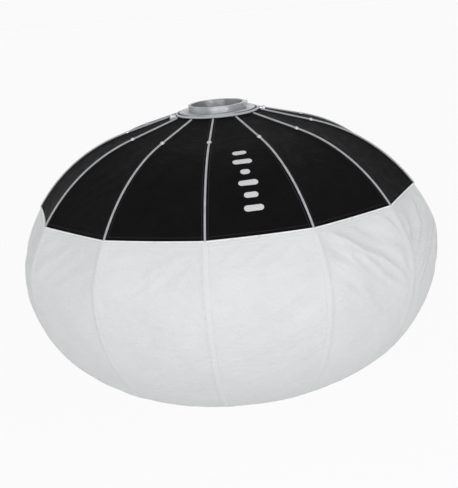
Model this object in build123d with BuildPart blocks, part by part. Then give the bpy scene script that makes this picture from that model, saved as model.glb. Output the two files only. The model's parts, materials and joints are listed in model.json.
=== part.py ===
"""Twelve-rib lantern softbox with a three-lug bayonet mount, in millimetres.

The origin is the centre of the seat that meets the lamp, +Z points up into the lamp, and the lantern
hangs below.  Rib one points along -Y.  A heading is the angle of a rib line below the outward horizontal:
0 runs outward, 90 straight down and 180 back towards the axis.
"""

import os
from math import atan2, cos, degrees, hypot, isclose, radians, sin, tan

from build123d import *

# Lantern shape: each rib line is a straight over the arm, then arcs that share their tangents
RIB_COUNT = 12
RIB_STEP = 360 / RIB_COUNT
RIB_ONE_AZIMUTH = -90
LANTERN_RADIUS = 400
WIDEST_Z = -270
CROWN_RADIUS = 322
SHOULDER_RADIUS = 112
BELLY_RADIUS = 252
BASE_RADIUS = 328
ARM_HEADING = 16
SHOULDER_HEADING = 69
BASE_HEADING = 142
RIM_HEADING = 56.6
COLLAR_RADIUS = 78
BASE_OPENING = 40
CLOTH = 0.8

# Mount: bayonet insert, and the split ring that turns on it
BORE_RADIUS = 49
TUBE_RADIUS = 54
FLANGE_RADIUS = 72
FLANGE_THICKNESS = 4
FLANGE_CHAMFER = 0.6
BORE_CHAMFER = 0.5
SEAT_INNER_RADIUS = 60
SEAT_STEP = 0.5
SPIGOT_TOP = 11
LUG_RADIUS = 58.5
LUG_BOTTOM, LUG_TOP = 6, 10
LUG_ARC = 38
LUG_COUNT = 3
TUBE_BOTTOM = -27
CLIP_THICKNESS = 1.2
CLIP_GROOVE_DEPTH = 1.5
CLIP_RADIUS = 57
CLIP_OPENING = 12
WASHER_RADIUS = 69
RING_TOP = -4.6
RING_BOTTOM = -23
RING_ROUNDING = 1.5
GLIDE_GAP = 0.06
CLIP_TOP = RING_BOTTOM - GLIDE_GAP

# Hinges at the ring and the hub: pins on one circle, and a radial slot for each rib
PIVOT_RADIUS = 62
RING_PIVOT_Z = -12
PIN_RADIUS = 1.5
PIN_LENGTH = 18
PIN_GAP = 0.05
SLOT_WIDTH = 8.4
SLOT_INNER_RADIUS = 57
SLOT_ROOF = 0.4

# Arms: a boss on the pin, a channel pressed into the underside, and a tip that grips the spring rod
ARM_WIDTH = 8
ARM_BOSS_RADIUS = 4
ARM_TIP_RADIUS = 3.6
ARM_WALL = 1.2
CHANNEL_MIDDLE = 0.55
CHANNEL_SHARE = 0.7

# Spring rods, which run at an even inset under the cloth
ROD_RADIUS = 1.75
ROD_INSET = 8
ROD_SOCKET = 40
ROD_GRIP = 32
ROD_BEND_START = 2

# Studs on the arms' ends
STUD_SETBACK = 6
STUD_FOOT = 2.6
STUD_RADIUS = 2
STUD_HOLE_RADIUS = 3
STUD_RISE = 0.3
STUD_CAP_RADIUS = 4.5
STUD_CAP_HEIGHT = 3.6
STUD_DOME_RADIUS = (STUD_CAP_RADIUS**2 + STUD_CAP_HEIGHT**2) / (2 * STUD_CAP_HEIGHT)

# Elbow: a fork and its rivet on the upper rod, and a tongue and ferrule on the lower rod
ELBOW_STRAIGHT = 15
ELBOW_TAIL = 22
EAR_RADIUS = 4.5
FORK_WIDTH = 9
FORK_GAP = 4.2
FORK_WEB = 5.6
TONGUE_WIDTH = 4
TONGUE_NECK = 7
FERRULE_RADIUS = 3.5
FERRULE_START = 6.2
FERRULE_LENGTH = 15
ROD_END_GRIP = 2

# Eye on the lower rod's other end, for the hub's pin
EYE_WIDTH = 8
EYE_NECK_RADIUS = 72
EYE_NECK_LENGTH = 18

# The elbow is midway between the ring's pivots and the hub's, so the hub stays level as the ribs fold
HUB_PIVOT_Z = 2 * WIDEST_Z - RING_PIVOT_Z

# Hub and base cap
HUB_RADIUS = 74
HUB_TOP = -521
HUB_BOTTOM = -536.6
HUB_BORE = 26
HUB_ROUNDING = 2
HUB_SLOT_FLOOR = -534.2
CAP_NECK_RADIUS = 38
CAP_RADIUS = 60
CAP_TOP = -538.5
CAP_BOTTOM = -541.5
CAP_ROUNDING = 2

# Fasteners
SCREW_RADIUS = 1.5
SCREW_HEAD_RADIUS = 3
SCREW_HEAD_HEIGHT = 1.6
SOCKET_RADIUS = 1
SOCKET_SHARE = 0.8
SCREW_CIRCLE = 63
SCREW_COUNT = 6
SCREW_AZIMUTH = 45
RING_SCREW_LENGTH = 16
HUB_SCREW_LENGTH = 12.6
CAP_SCREW_LENGTH = 10.9
CAP_SCREW_CIRCLE = 32
CAP_SCREW_COUNT = 3
CAP_SCREW_HEAD = 1.4

# Thumb screws in the split ring
THUMB_AZIMUTHS = {"right": 15, "left": 195}
THUMB_Z = -8.75
THUMB_SHANK = 2.5
THUMB_TIP = 54.4
THUMB_KNOB_START = 80
THUMB_KNOB_LENGTH = 11
THUMB_KNOB_RADIUS = 6
THUMB_KNOB_CHAMFER = 0.5
THUMB_FLUTES = 10
FLUTE_RADIUS = 1.2
FLUTE_CIRCLE = 6.4
KNOB_CLEARANCE = 1.5

# Corded hem at the collar
HEM_RADIUS = 2
HEM_CIRCLE = 76.8
HEM_Z = -4

HALF_STEP = RIB_STEP / 2

# How far cutters reach past the surface they cut, and past the whole lantern
OVERCUT = 1
FAR = 600


def point_on(centre, radius, heading):
    """The point of a rib-line arc where the line runs at this heading, as (radius, height)."""
    return (
        centre[0] + radius * sin(radians(heading)),
        centre[1] + radius * cos(radians(heading)),
    )


# Arc centres follow from the widest point, because neighbouring arcs share a tangent
SHOULDER_CENTRE = (LANTERN_RADIUS - SHOULDER_RADIUS, WIDEST_Z)
CROWN_CENTRE = point_on(SHOULDER_CENTRE, SHOULDER_RADIUS - CROWN_RADIUS, SHOULDER_HEADING)
BELLY_CENTRE = (LANTERN_RADIUS - BELLY_RADIUS, WIDEST_Z)
BASE_CENTRE = point_on(BELLY_CENTRE, BELLY_RADIUS - BASE_RADIUS, BASE_HEADING)
ARM_TIP = point_on(CROWN_CENTRE, CROWN_RADIUS - ROD_INSET, ARM_HEADING)

# Upper rod: crown arc, a tight shoulder arc, then a straight end for the elbow fork
ROD_CROWN_RADIUS = CROWN_RADIUS - ROD_INSET
ROD_SHOULDER = point_on(CROWN_CENTRE, ROD_CROWN_RADIUS, SHOULDER_HEADING)
ROD_SHOULDER_RADIUS = (ROD_SHOULDER[1] - WIDEST_Z - ELBOW_STRAIGHT) / cos(radians(SHOULDER_HEADING))
ELBOW_RADIUS = ROD_SHOULDER[0] + ROD_SHOULDER_RADIUS * (1 - sin(radians(SHOULDER_HEADING)))
ROD_SHOULDER_CENTRE = (ELBOW_RADIUS - ROD_SHOULDER_RADIUS, WIDEST_Z + ELBOW_STRAIGHT)

# Lower rod: a straight tail, then a belly arc that meets the base arc with a shared tangent
ROD_BASE_RADIUS = BASE_RADIUS - ROD_INSET
TAIL_Z = WIDEST_Z - ELBOW_TAIL
TAIL_OUT = ELBOW_RADIUS - BASE_CENTRE[0]
TAIL_DROP = BASE_CENTRE[1] - TAIL_Z
ROD_BELLY_RADIUS = (ROD_BASE_RADIUS**2 - TAIL_OUT**2 - TAIL_DROP**2) / (2 * (ROD_BASE_RADIUS - TAIL_OUT))
ROD_BELLY_CENTRE = (ELBOW_RADIUS - ROD_BELLY_RADIUS, TAIL_Z)
ROD_CENTRE_OUT = ROD_BELLY_CENTRE[0] - BASE_CENTRE[0]
ROD_BASE_HEADING = degrees(atan2(ROD_CENTRE_OUT, TAIL_Z - BASE_CENTRE[1]))
ROD_BASE_Z = BASE_CENTRE[1] - ROD_BASE_RADIUS


def rib_azimuth(number):
    return RIB_ONE_AZIMUTH + RIB_STEP * (number - 1)


def write(piece, name):
    """Labels a finished piece and writes its STEP file."""
    piece.label = name
    export_step(piece, f"parts/{name}.step")


def turned(piece, azimuth):
    """A copy of a piece that was made along +X, turned to an azimuth."""
    with BuildPart() as copy:
        with Locations(Location((0, 0, 0), (0, 0, azimuth))):
            add(piece)
    return copy.part


def arc(centre, radius, start, end, squeeze=1.0):
    """An arc of a rib line between two headings, with its radial coordinate squeezed."""
    ends = [point_on(centre, radius, heading) for heading in (start, (start + end) / 2, end)]
    return ThreePointArc(*[(r * squeeze, z) for r, z in ends])


def rims_of(part, radius):
    """The round edges of a part that have this radius."""
    circles = part.edges().filter_by(GeomType.CIRCLE)
    return circles.filter_by(lambda edge: isclose(edge.radius, radius))


def across_rib(radius, height):
    """Where a pin lies that crosses the rib plane at this radius and height."""
    return Location((radius, 0, height), (90, 0, 0))


def along_thumb(azimuth):
    """Where a thumb screw leaves the ring, with +Z along the screw."""
    return Location((0, 0, THUMB_Z), (0, 0, azimuth)) * Location((FLANGE_RADIUS, 0, 0), (0, 90, 0))


def annulus(inner, outer, low, high):
    """A plain ring about the Z axis."""
    with BuildPart() as ring:
        with BuildSketch(Plane.XY.offset(low)):
            Circle(outer)
            Circle(inner, mode=Mode.SUBTRACT)
        extrude(amount=high - low)
    return ring.part


def tangential_rods(radius, reach, circle, height):
    """Round rods that lie across each rib plane, as pins or as the cutters of their holes."""
    with BuildPart() as rods:
        with PolarLocations(0, RIB_COUNT):
            with Locations(across_rib(circle, height)):
                Cylinder(radius, reach)
    return rods.part


def rib_slots(low, high):
    """Radial slots at the ribs, open outward, between two heights."""
    depth = FLANGE_RADIUS + HUB_RADIUS - SLOT_INNER_RADIUS
    with BuildPart() as slots:
        with PolarLocations(0, RIB_COUNT):
            with Locations((SLOT_INNER_RADIUS + depth / 2, 0, (low + high) / 2)):
                Box(depth, SLOT_WIDTH, high - low)
    return slots.part


def bayonet_ring():
    """Flange, guide tube and three-lug spigot in one turned casting."""
    with BuildPart() as ring:
        add(annulus(BORE_RADIUS, FLANGE_RADIUS, -FLANGE_THICKNESS, 0))
        add(annulus(BORE_RADIUS, TUBE_RADIUS, TUBE_BOTTOM, SPIGOT_TOP))
        add(annulus(TUBE_RADIUS, SEAT_INNER_RADIUS, -SEAT_STEP, 0), mode=Mode.SUBTRACT)
        with BuildSketch(Plane.XY.offset(LUG_BOTTOM)):
            Circle(LUG_RADIUS)
            Circle(TUBE_RADIUS - OVERCUT, mode=Mode.SUBTRACT)
            with BuildSketch(mode=Mode.INTERSECT):
                with PolarLocations(0, LUG_COUNT):
                    with BuildLine():
                        side = (FAR * cos(radians(LUG_ARC / 2)), FAR * sin(radians(LUG_ARC / 2)))
                        Polyline((0, 0), side, (side[0], -side[1]), close=True)
                    make_face()
        extrude(amount=LUG_TOP - LUG_BOTTOM)
        groove_bottom = CLIP_TOP - CLIP_THICKNESS
        groove = annulus(TUBE_RADIUS - CLIP_GROOVE_DEPTH, TUBE_RADIUS + OVERCUT, groove_bottom, CLIP_TOP)
        add(groove, mode=Mode.SUBTRACT)
        chamfer(rims_of(ring, FLANGE_RADIUS), FLANGE_CHAMFER)
        chamfer(rims_of(ring, BORE_RADIUS), BORE_CHAMFER)
    return ring.part


def retaining_clip():
    """Open snap ring in the tube's groove, which holds the ring up."""
    with BuildPart() as clip:
        low = CLIP_TOP - CLIP_THICKNESS
        add(annulus(TUBE_RADIUS - CLIP_GROOVE_DEPTH, CLIP_RADIUS, low, CLIP_TOP))
        with Locations((-CLIP_RADIUS, 0, CLIP_TOP - CLIP_THICKNESS / 2)):
            Box(CLIP_RADIUS, CLIP_OPENING, 2 * CLIP_THICKNESS, mode=Mode.SUBTRACT)
    return clip.part


def glide_washer():
    """Flat washer between the flange and the split ring."""
    return annulus(TUBE_RADIUS + GLIDE_GAP, WASHER_RADIUS, RING_TOP + GLIDE_GAP, -FLANGE_THICKNESS)


def ring_half(low, high, slot_low, slot_high):
    """One half of the split ring: slots for the arms, and half grooves for their pins."""
    with BuildPart() as half:
        add(annulus(TUBE_RADIUS + GLIDE_GAP, FLANGE_RADIUS, low, high))
        outer = rims_of(half, FLANGE_RADIUS).sort_by(Axis.Z)
        fillet(outer[-1 if high > RING_PIVOT_Z else 0], RING_ROUNDING)
        add(rib_slots(slot_low, slot_high), mode=Mode.SUBTRACT)
        add(tangential_rods(PIN_RADIUS, PIN_LENGTH, PIVOT_RADIUS, RING_PIVOT_Z), mode=Mode.SUBTRACT)
    return half.part


def ring_upper():
    """Upper half of the split ring, threaded for the thumb screws and the ring screws."""
    roof = RING_PIVOT_Z + ARM_BOSS_RADIUS + SLOT_ROOF
    with BuildPart() as upper:
        add(ring_half(RING_PIVOT_Z, RING_TOP, RING_PIVOT_Z - OVERCUT, roof))
        for azimuth in THUMB_AZIMUTHS.values():
            with Locations(along_thumb(azimuth)):
                Cylinder(THUMB_SHANK + PIN_GAP, FLANGE_RADIUS, mode=Mode.SUBTRACT)
        add(ring_screws(socket=False), mode=Mode.SUBTRACT)
    return upper.part


def ring_lower():
    """Lower half of the split ring, which clamps the arm pins."""
    with BuildPart() as lower:
        add(ring_half(RING_BOTTOM, RING_PIVOT_Z, RING_BOTTOM - OVERCUT, RING_PIVOT_Z + OVERCUT))
        add(ring_screws(socket=False), mode=Mode.SUBTRACT)
    return lower.part


def screw(length, head_height, socket=True):
    """A countersunk screw along +Z, with its head's face at the origin, or the cutter of its hole."""
    with BuildPart() as body:
        with BuildSketch(Plane.XZ):
            with BuildLine():
                Polyline(
                    (0, 0),
                    (SCREW_HEAD_RADIUS, 0),
                    (SCREW_RADIUS, head_height),
                    (SCREW_RADIUS, length),
                    (0, length),
                    close=True,
                )
            make_face()
        revolve(axis=Axis.Z)
        if socket:
            with BuildSketch():
                RegularPolygon(SOCKET_RADIUS, 6)
            extrude(amount=head_height * SOCKET_SHARE, mode=Mode.SUBTRACT)
    return body.part


def ring_screws(socket=True):
    """Six countersunk screws, put in from below."""
    with BuildPart() as screws:
        with PolarLocations(SCREW_CIRCLE, SCREW_COUNT, start_angle=SCREW_AZIMUTH):
            with Locations((0, 0, RING_BOTTOM)):
                add(screw(RING_SCREW_LENGTH, SCREW_HEAD_HEIGHT, socket))
    return screws.part


def thumb_screw(azimuth):
    """A radial screw with a fluted knob, which stops the mount from turning in the ring."""
    with BuildPart() as thumb:
        with BuildSketch(Plane.YZ.offset(THUMB_TIP)):
            Circle(THUMB_SHANK)
        extrude(amount=THUMB_KNOB_START + OVERCUT - THUMB_TIP)
        with BuildSketch(Plane.YZ.offset(THUMB_KNOB_START)):
            Circle(THUMB_KNOB_RADIUS)
            with PolarLocations(FLUTE_CIRCLE, THUMB_FLUTES):
                Circle(FLUTE_RADIUS, mode=Mode.SUBTRACT)
        extrude(amount=THUMB_KNOB_LENGTH)
        chamfer(thumb.faces().sort_by(Axis.X)[-1].edges(), THUMB_KNOB_CHAMFER)
    with BuildPart() as placed:
        with Locations(Location((0, 0, THUMB_Z), (0, 0, azimuth))):
            add(thumb.part)
    return placed.part


def back_from_tip(distance, rise=0.0):
    """A point of the arm's straight end, behind its tip and above its middle line, as (radius, height)."""
    slope = radians(ARM_HEADING)
    return (
        ARM_TIP[0] - distance * cos(slope) + rise * sin(slope),
        ARM_TIP[1] + distance * sin(slope) + rise * cos(slope),
    )


def stud():
    """Domed stud on the arm's end, which stands up through the cover and holds it down."""
    under_cap = ROD_INSET + STUD_RISE
    foot = back_from_tip(STUD_SETBACK)
    with BuildPart() as dome:
        with BuildSketch(Plane.XZ):
            with BuildLine():
                Line((0, STUD_FOOT), (STUD_RADIUS, STUD_FOOT))
                Line((STUD_RADIUS, STUD_FOOT), (STUD_RADIUS, under_cap))
                Line((STUD_RADIUS, under_cap), (STUD_CAP_RADIUS, under_cap))
                RadiusArc((STUD_CAP_RADIUS, under_cap), (0, under_cap + STUD_CAP_HEIGHT), -STUD_DOME_RADIUS)
                Line((0, under_cap + STUD_CAP_HEIGHT), (0, STUD_FOOT))
            make_face()
        revolve(axis=Axis.Z)
    with BuildPart() as placed:
        with Locations(Location((foot[0], 0, foot[1]), (0, ARM_HEADING, 0))):
            add(dome.part)
    return placed.part


def arm():
    """Pressed channel from the ring hinge to the root of the spring rod, with its stud, along +X."""
    root = back_from_tip(ROD_SOCKET)
    with BuildPart() as channel:
        with BuildSketch(Plane.XZ):
            with Locations((PIVOT_RADIUS, RING_PIVOT_Z), root):
                Circle(ARM_BOSS_RADIUS)
            with Locations(ARM_TIP):
                Circle(ARM_TIP_RADIUS)
            make_hull()
        extrude(amount=ARM_WIDTH / 2, both=True)
        slope = degrees(atan2(RING_PIVOT_Z - root[1], root[0] - PIVOT_RADIUS))
        reach = hypot(root[0] - PIVOT_RADIUS, RING_PIVOT_Z - root[1])
        channel_plane = Plane.XZ * Location((PIVOT_RADIUS, RING_PIVOT_Z), (0, 0, -slope))
        with BuildSketch(channel_plane):
            with Locations((reach * CHANNEL_MIDDLE, -ARM_WALL - ARM_BOSS_RADIUS / 2)):
                Rectangle(reach * CHANNEL_SHARE, 2 * ARM_BOSS_RADIUS)
        extrude(amount=ARM_WIDTH / 2 - ARM_WALL, both=True, mode=Mode.SUBTRACT)
        with Locations(across_rib(PIVOT_RADIUS, RING_PIVOT_Z)):
            Cylinder(PIN_RADIUS + PIN_GAP, 2 * ARM_WIDTH, mode=Mode.SUBTRACT)
        add(stud())
        add(rod_root(), mode=Mode.SUBTRACT)
    return channel.part


def rod_root():
    """The straight root of the upper rod, which the arm grips."""
    with BuildLine(Plane.XZ) as path:
        Line(back_from_tip(ROD_GRIP), ARM_TIP)
        arc(CROWN_CENTRE, ROD_CROWN_RADIUS, ARM_HEADING, ARM_HEADING + ROD_BEND_START)
    return swept_rod(path)


def swept_rod(path):
    """A round rod along a path in the rib plane."""
    wire = path.wires()[0]
    with BuildPart() as rod:
        with BuildSketch(Plane(wire @ 0, z_dir=wire % 0)):
            Circle(ROD_RADIUS)
        sweep(path=wire)
    return rod.part


def upper_rod():
    """Spring rod from the arm to the elbow, with the elbow's fork and its pin."""
    web = WIDEST_Z + FORK_WEB
    rod_end = web + OVERCUT
    fork_top = WIDEST_Z + ELBOW_STRAIGHT
    with BuildLine(Plane.XZ) as path:
        Line(back_from_tip(ROD_GRIP), ARM_TIP)
        arc(CROWN_CENTRE, ROD_CROWN_RADIUS, ARM_HEADING, SHOULDER_HEADING)
        arc(ROD_SHOULDER_CENTRE, ROD_SHOULDER_RADIUS, SHOULDER_HEADING, 90)
        Line((ELBOW_RADIUS, fork_top), (ELBOW_RADIUS, rod_end))
    rod = swept_rod(path)
    with BuildPart() as fork:
        with BuildSketch(Plane.XZ):
            with Locations((ELBOW_RADIUS, WIDEST_Z)):
                Circle(EAR_RADIUS)
            with Locations((ELBOW_RADIUS, (WIDEST_Z + fork_top) / 2)):
                Rectangle(2 * EAR_RADIUS, ELBOW_STRAIGHT)
        extrude(amount=FORK_WIDTH / 2, both=True)
        with Locations((ELBOW_RADIUS, 0, web - 2 * EAR_RADIUS)):
            Box(4 * EAR_RADIUS, FORK_GAP, 4 * EAR_RADIUS, mode=Mode.SUBTRACT)
        with Locations(across_rib(ELBOW_RADIUS, WIDEST_Z)):
            Cylinder(PIN_RADIUS, 2 * FORK_WIDTH, mode=Mode.SUBTRACT)
        with Locations((ELBOW_RADIUS, 0, (rod_end + fork_top) / 2)):
            Cylinder(ROD_RADIUS, fork_top - rod_end, mode=Mode.SUBTRACT)
    with BuildPart() as pin:
        with Locations(across_rib(ELBOW_RADIUS, WIDEST_Z)):
            Cylinder(PIN_RADIUS, FORK_WIDTH)
    return Compound(children=[rod, fork.part, pin.part])


def lower_rod():
    """Spring rod from the elbow to the hub, with a tongue at the top and an eye at the bottom."""
    ferrule_top = WIDEST_Z - FERRULE_START
    ferrule_bottom = ferrule_top - FERRULE_LENGTH
    with BuildLine(Plane.XZ) as path:
        Line((ELBOW_RADIUS, ferrule_top - ROD_END_GRIP), (ELBOW_RADIUS, TAIL_Z))
        arc(ROD_BELLY_CENTRE, ROD_BELLY_RADIUS, 90, ROD_BASE_HEADING)
        arc(BASE_CENTRE, ROD_BASE_RADIUS, ROD_BASE_HEADING, 180)
        Line((BASE_CENTRE[0], ROD_BASE_Z), (EYE_NECK_RADIUS + ROD_END_GRIP, ROD_BASE_Z))
    rod = swept_rod(path)
    with BuildPart() as tongue:
        with BuildSketch(Plane.XZ):
            with Locations((ELBOW_RADIUS, WIDEST_Z)):
                Circle(EAR_RADIUS)
            with Locations((ELBOW_RADIUS, WIDEST_Z - (FERRULE_START + OVERCUT) / 2)):
                Rectangle(TONGUE_NECK, FERRULE_START + OVERCUT)
        extrude(amount=TONGUE_WIDTH / 2, both=True)
        with Locations((ELBOW_RADIUS, 0, (ferrule_top + ferrule_bottom) / 2)):
            Cylinder(FERRULE_RADIUS, FERRULE_LENGTH)
        with Locations(across_rib(ELBOW_RADIUS, WIDEST_Z)):
            Cylinder(PIN_RADIUS + PIN_GAP, 2 * FORK_WIDTH, mode=Mode.SUBTRACT)
        add(rod, mode=Mode.SUBTRACT)
    with BuildPart() as eye:
        with BuildSketch(Plane.XZ):
            with Locations((PIVOT_RADIUS, HUB_PIVOT_Z)):
                Circle(EAR_RADIUS)
            with Locations((EYE_NECK_RADIUS, ROD_BASE_Z)):
                Circle(FERRULE_RADIUS)
            make_hull()
        extrude(amount=EYE_WIDTH / 2, both=True)
        with BuildSketch(Plane.YZ.offset(EYE_NECK_RADIUS)):
            with Locations((0, ROD_BASE_Z)):
                Circle(FERRULE_RADIUS)
        extrude(amount=EYE_NECK_LENGTH)
        with Locations(across_rib(PIVOT_RADIUS, HUB_PIVOT_Z)):
            Cylinder(PIN_RADIUS + PIN_GAP, 2 * EYE_WIDTH, mode=Mode.SUBTRACT)
        add(rod, mode=Mode.SUBTRACT)
    return Compound(children=[rod, tongue.part, eye.part])


def hub_half(low, high, slot_low):
    """One half of the hub: rib slots, half grooves for the pins and screw holes."""
    with BuildPart() as half:
        add(annulus(HUB_BORE, HUB_RADIUS, low, high))
        outer = rims_of(half, HUB_RADIUS).sort_by(Axis.Z)
        fillet(outer[-1 if high > HUB_PIVOT_Z else 0], HUB_ROUNDING)
        add(rib_slots(slot_low, HUB_TOP + OVERCUT), mode=Mode.SUBTRACT)
        add(tangential_rods(PIN_RADIUS, PIN_LENGTH, PIVOT_RADIUS, HUB_PIVOT_Z), mode=Mode.SUBTRACT)
        add(hub_screws(socket=False), mode=Mode.SUBTRACT)
    return half.part


def hub_screws(socket=True):
    """Six countersunk screws, put in from above."""
    with BuildPart() as screws:
        with PolarLocations(SCREW_CIRCLE, SCREW_COUNT, start_angle=SCREW_AZIMUTH):
            with Locations(Location((0, 0, HUB_TOP), (180, 0, 0))):
                add(screw(HUB_SCREW_LENGTH, SCREW_HEAD_HEIGHT, socket))
    return screws.part


def hub_plate():
    """Lower half of the hub, with blind holes for the base cap's screws."""
    with BuildPart() as plate:
        add(hub_half(HUB_BOTTOM, HUB_PIVOT_Z, HUB_SLOT_FLOOR))
        add(cap_screws(socket=False), mode=Mode.SUBTRACT)
    return plate.part


def base_cap():
    """Round cap under the cloth, which clamps its edge to the hub."""
    with BuildPart() as cap:
        with BuildSketch(Plane.XY.offset(CAP_BOTTOM)):
            Circle(CAP_RADIUS)
        extrude(amount=CAP_TOP - CAP_BOTTOM)
        fillet(cap.faces().sort_by(Axis.Z)[0].edges(), CAP_ROUNDING)
        with BuildSketch(Plane.XY.offset(CAP_TOP)):
            Circle(CAP_NECK_RADIUS)
        extrude(amount=HUB_BOTTOM - CAP_TOP)
        add(cap_screws(socket=False), mode=Mode.SUBTRACT)
    return cap.part


def cap_screws(socket=True):
    """Three screws that hold the base cap, put in from below."""
    with BuildPart() as screws:
        with PolarLocations(CAP_SCREW_CIRCLE, CAP_SCREW_COUNT, start_angle=RIB_STEP):
            with Locations((0, 0, CAP_BOTTOM)):
                add(screw(CAP_SCREW_LENGTH, CAP_SCREW_HEAD, socket))
    return screws.part


def cloth(outline):
    """A twelve-sided cloth shell.  The outline draws one gore's section in its middle plane."""
    with BuildPart() as gore:
        with BuildSketch(Plane.XZ):
            with BuildLine():
                outline(cos(radians(HALF_STEP)))
            make_face()
        extrude(amount=FAR / 2, both=True)
        side = (FAR, FAR * tan(radians(HALF_STEP)))
        with BuildSketch(Plane.XY.offset(-FAR)):
            with BuildLine():
                Polyline((0, 0), side, (side[0], -side[1]), close=True)
            make_face()
        extrude(amount=2 * FAR, mode=Mode.INTERSECT)
    with BuildPart() as shell:
        with PolarLocations(0, RIB_COUNT, start_angle=HALF_STEP):
            add(gore.part)
    return shell.part


def cover_outline(squeeze):
    """Section of the black top: a straight run over the arm, then the crown down to the rim."""
    tips = [point_on(CROWN_CENTRE, CROWN_RADIUS - inset, ARM_HEADING) for inset in (0, CLOTH)]
    reach = (tips[0][0] - COLLAR_RADIUS) / cos(radians(ARM_HEADING))
    collar = [
        (tip[0] - reach * cos(radians(ARM_HEADING)), tip[1] + reach * sin(radians(ARM_HEADING)))
        for tip in tips
    ]
    rims = [point_on(CROWN_CENTRE, CROWN_RADIUS - inset, RIM_HEADING) for inset in (0, CLOTH)]
    squeezed = [[(r * squeeze, z) for r, z in pair] for pair in (collar, tips, rims)]
    Line(squeezed[0][0], squeezed[1][0])
    arc(CROWN_CENTRE, CROWN_RADIUS, ARM_HEADING, RIM_HEADING, squeeze)
    Line(squeezed[2][0], squeezed[2][1])
    arc(CROWN_CENTRE, CROWN_RADIUS - CLOTH, RIM_HEADING, ARM_HEADING, squeeze)
    Line(squeezed[1][1], squeezed[0][1])
    Line(squeezed[0][1], squeezed[0][0])


def diffuser_outline(squeeze):
    """Section of the white diffuser, from the rim round to the hole under the hub."""
    spans = [
        (CROWN_CENTRE, CROWN_RADIUS, RIM_HEADING, SHOULDER_HEADING),
        (SHOULDER_CENTRE, SHOULDER_RADIUS, SHOULDER_HEADING, 90),
        (BELLY_CENTRE, BELLY_RADIUS, 90, BASE_HEADING),
        (BASE_CENTRE, BASE_RADIUS, BASE_HEADING, 180),
    ]
    rim, inner_rim = [point_on(CROWN_CENTRE, CROWN_RADIUS - inset, RIM_HEADING) for inset in (0, CLOTH)]
    base, inner_base = [point_on(BASE_CENTRE, BASE_RADIUS - inset, 180) for inset in (0, CLOTH)]
    for centre, radius, start, end in spans:
        arc(centre, radius, start, end, squeeze)
    hole = [(BASE_OPENING * squeeze, height) for _, height in (base, inner_base)]
    Line((base[0] * squeeze, base[1]), hole[0])
    Line(hole[0], hole[1])
    Line(hole[1], (inner_base[0] * squeeze, inner_base[1]))
    for centre, radius, start, end in reversed(spans):
        arc(centre, radius - CLOTH, end, start, squeeze)
    Line((inner_rim[0] * squeeze, inner_rim[1]), (rim[0] * squeeze, rim[1]))


def top_cover():
    """Black top, notched at the collar for the thumb screws, with a hole for each arm's stud."""
    foot = back_from_tip(STUD_SETBACK)
    notch_reach = 2 * (THUMB_KNOB_START + THUMB_KNOB_LENGTH + KNOB_CLEARANCE - FLANGE_RADIUS)
    with BuildPart() as cover:
        add(cloth(cover_outline))
        for azimuth in THUMB_AZIMUTHS.values():
            with Locations(along_thumb(azimuth)):
                Cylinder(THUMB_KNOB_RADIUS + KNOB_CLEARANCE, notch_reach, mode=Mode.SUBTRACT)
        with PolarLocations(0, RIB_COUNT):
            with Locations(Location((foot[0], 0, foot[1]), (0, ARM_HEADING, 0))):
                Cylinder(STUD_HOLE_RADIUS, 4 * ROD_INSET, mode=Mode.SUBTRACT)
    return cover.part


def collar_hem():
    """Corded hem round the collar of the top."""
    with BuildPart() as hem:
        with BuildSketch(Plane.XZ):
            with Locations((HEM_CIRCLE, HEM_Z)):
                Circle(HEM_RADIUS)
        revolve(axis=Axis.Z)
    return hem.part


os.makedirs("parts", exist_ok=True)

write(bayonet_ring(), "bayonet_ring")
write(retaining_clip(), "retaining_clip")
write(glide_washer(), "glide_washer")
write(ring_upper(), "ring_upper")
write(ring_lower(), "ring_lower")
write(ring_screws(), "ring_screws")
write(tangential_rods(PIN_RADIUS, PIN_LENGTH, PIVOT_RADIUS, RING_PIVOT_Z), "arm_pins")
for side_name, thumb_azimuth in THUMB_AZIMUTHS.items():
    write(thumb_screw(thumb_azimuth), f"thumb_screw_{side_name}")

arm_master, upper_master, lower_master = arm(), upper_rod(), lower_rod()
for rib in range(1, RIB_COUNT + 1):
    write(turned(arm_master, rib_azimuth(rib)), f"arm_{rib:02d}")
    write(turned(upper_master, rib_azimuth(rib)), f"upper_rod_{rib:02d}")
    write(turned(lower_master, rib_azimuth(rib)), f"lower_rod_{rib:02d}")

write(hub_plate(), "hub_plate")
write(hub_half(HUB_PIVOT_Z, HUB_TOP, HUB_PIVOT_Z - OVERCUT), "hub_top")
write(tangential_rods(PIN_RADIUS, PIN_LENGTH, PIVOT_RADIUS, HUB_PIVOT_Z), "hub_pins")
write(hub_screws(), "hub_screws")
write(base_cap(), "base_cap")
write(cap_screws(), "base_cap_screws")
write(top_cover(), "top_cover")
write(cloth(diffuser_outline), "diffuser")
write(collar_hem(), "collar_hem")
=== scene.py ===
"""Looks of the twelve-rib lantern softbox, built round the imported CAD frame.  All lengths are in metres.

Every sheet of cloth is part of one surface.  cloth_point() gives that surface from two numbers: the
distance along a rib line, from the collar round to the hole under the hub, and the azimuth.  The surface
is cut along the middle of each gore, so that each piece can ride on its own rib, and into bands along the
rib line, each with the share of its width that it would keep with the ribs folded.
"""

import json
from math import atan2, ceil, cos, floor, hypot, pi, radians, sin, sqrt, tan

import bpy
from mathutils import Matrix, Quaternion, Vector, noise


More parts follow.
